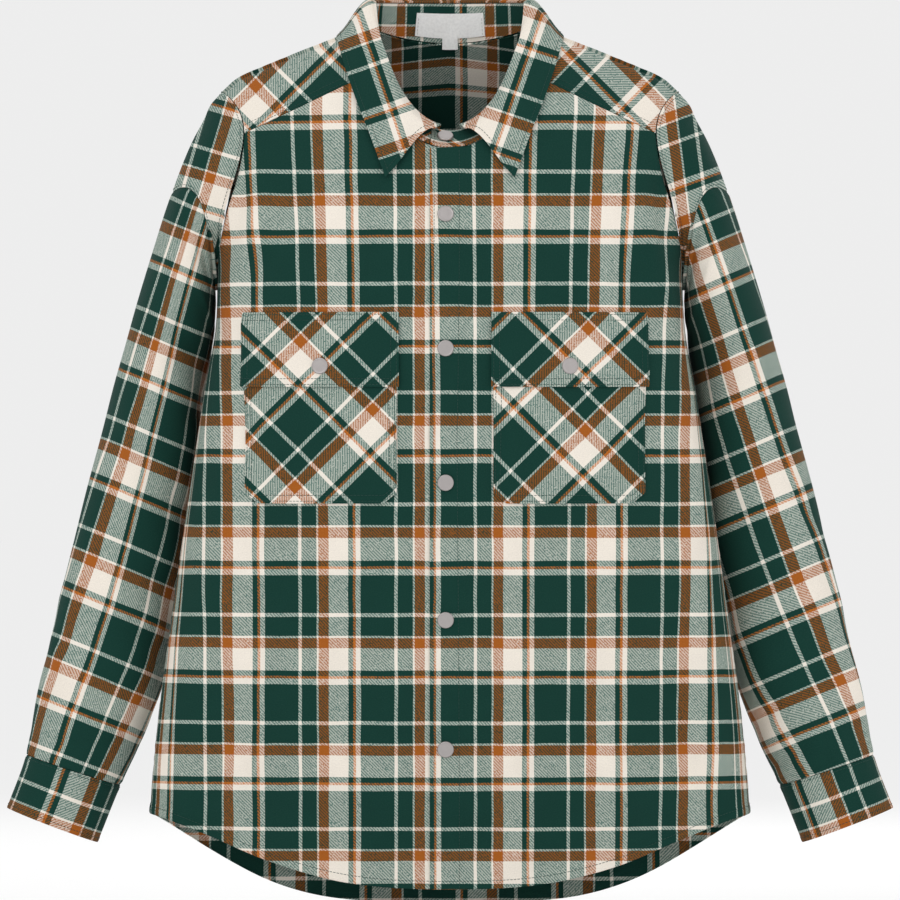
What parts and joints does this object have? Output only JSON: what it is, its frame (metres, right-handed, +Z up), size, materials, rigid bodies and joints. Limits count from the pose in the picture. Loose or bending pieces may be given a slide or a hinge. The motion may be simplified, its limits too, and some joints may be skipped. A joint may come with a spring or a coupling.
{
  "type": "long-sleeved plaid shirt",
  "caption": "Flannel overshirt filled out as if worn, with a pointed collar, snap front, flapped chest pockets and a curved tail.",
  "frame": {"origin": "middle of the neck opening at the height of the back neck seam, where the wearer's neck and shoulders hold it", "axes": "+Z up, front towards -Y, the wearer's left towards +X"},
  "size_m": [0.818, 0.2466, 0.8358],
  "materials": {
    "plaid": "brushed cotton twill, straight-cut check",
    "bias_plaid": "brushed cotton twill, the same check cut on the bias",
    "snap_metal": "satin nickel snap caps",
    "label": "blank woven label"
  },
  "bodies": {
    "root": {"front_left": "plaid", "front_right": "plaid", "back": "plaid", "cap_left": "plaid", "cap_right": "plaid", "sleeve_left": "plaid", "sleeve_right": "plaid", "cuff_left": "plaid", "cuff_right": "plaid", "collar_stand": "plaid", "collar_leaf": "plaid", "yoke_left": "bias_plaid", "yoke_right": "bias_plaid", "pocket_left": "bias_plaid", "pocket_right": "bias_plaid", "flap_left": "bias_plaid", "flap_right": "bias_plaid", "snap_front_1": "snap_metal", "snap_front_2": "snap_metal", "snap_front_3": "snap_metal", "snap_front_4": "snap_metal", "snap_front_5": "snap_metal", "snap_collar": "snap_metal", "snap_flap_left": "snap_metal", "snap_flap_right": "snap_metal", "label": "label", "size_tab": "label"}
  },
  "joints": []
}
